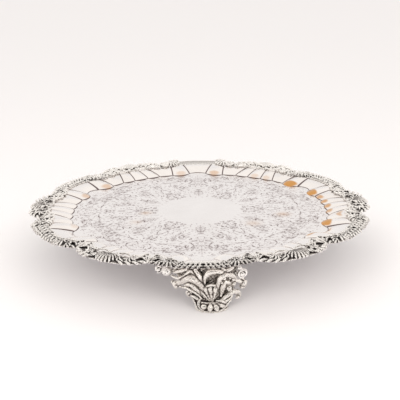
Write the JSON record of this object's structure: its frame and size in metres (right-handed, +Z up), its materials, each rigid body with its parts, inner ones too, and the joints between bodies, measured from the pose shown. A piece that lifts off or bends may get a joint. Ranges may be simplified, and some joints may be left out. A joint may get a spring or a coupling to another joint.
{
  "type": "footed salver",
  "caption": "Round lobed silver salver: flat engraved centre, fluted rising edge, cast shell-and-scroll border, and cast leaf bracket feet underneath.",
  "frame": {"origin": "on the table under the centre of the tray, at the bottom of the feet", "axes": "+Z up through the tray's centre, -Y towards the first foot, +X to the right of it"},
  "size_m": [0.304, 0.3036, 0.0496],
  "materials": {
    "silver_sheet": "polished silver with fine engraving",
    "silver_casting": "bright cast silver with dark recesses"
  },
  "bodies": {
    "root": {"tray": "silver_sheet", "border_shell_1": "silver_casting", "border_arc_1": "silver_casting", "border_shell_2": "silver_casting", "border_arc_2": "silver_casting", "border_shell_3": "silver_casting", "border_arc_3": "silver_casting", "border_shell_4": "silver_casting", "border_arc_4": "silver_casting", "border_shell_5": "silver_casting", "border_arc_5": "silver_casting", "border_shell_6": "silver_casting", "border_arc_6": "silver_casting", "foot_1": "silver_casting", "foot_1_boss_left": "silver_casting", "foot_1_boss_right": "silver_casting", "foot_2": "silver_casting", "foot_2_boss_left": "silver_casting", "foot_2_boss_right": "silver_casting", "foot_3": "silver_casting", "foot_3_boss_left": "silver_casting", "foot_3_boss_right": "silver_casting"}
  },
  "joints": []
}
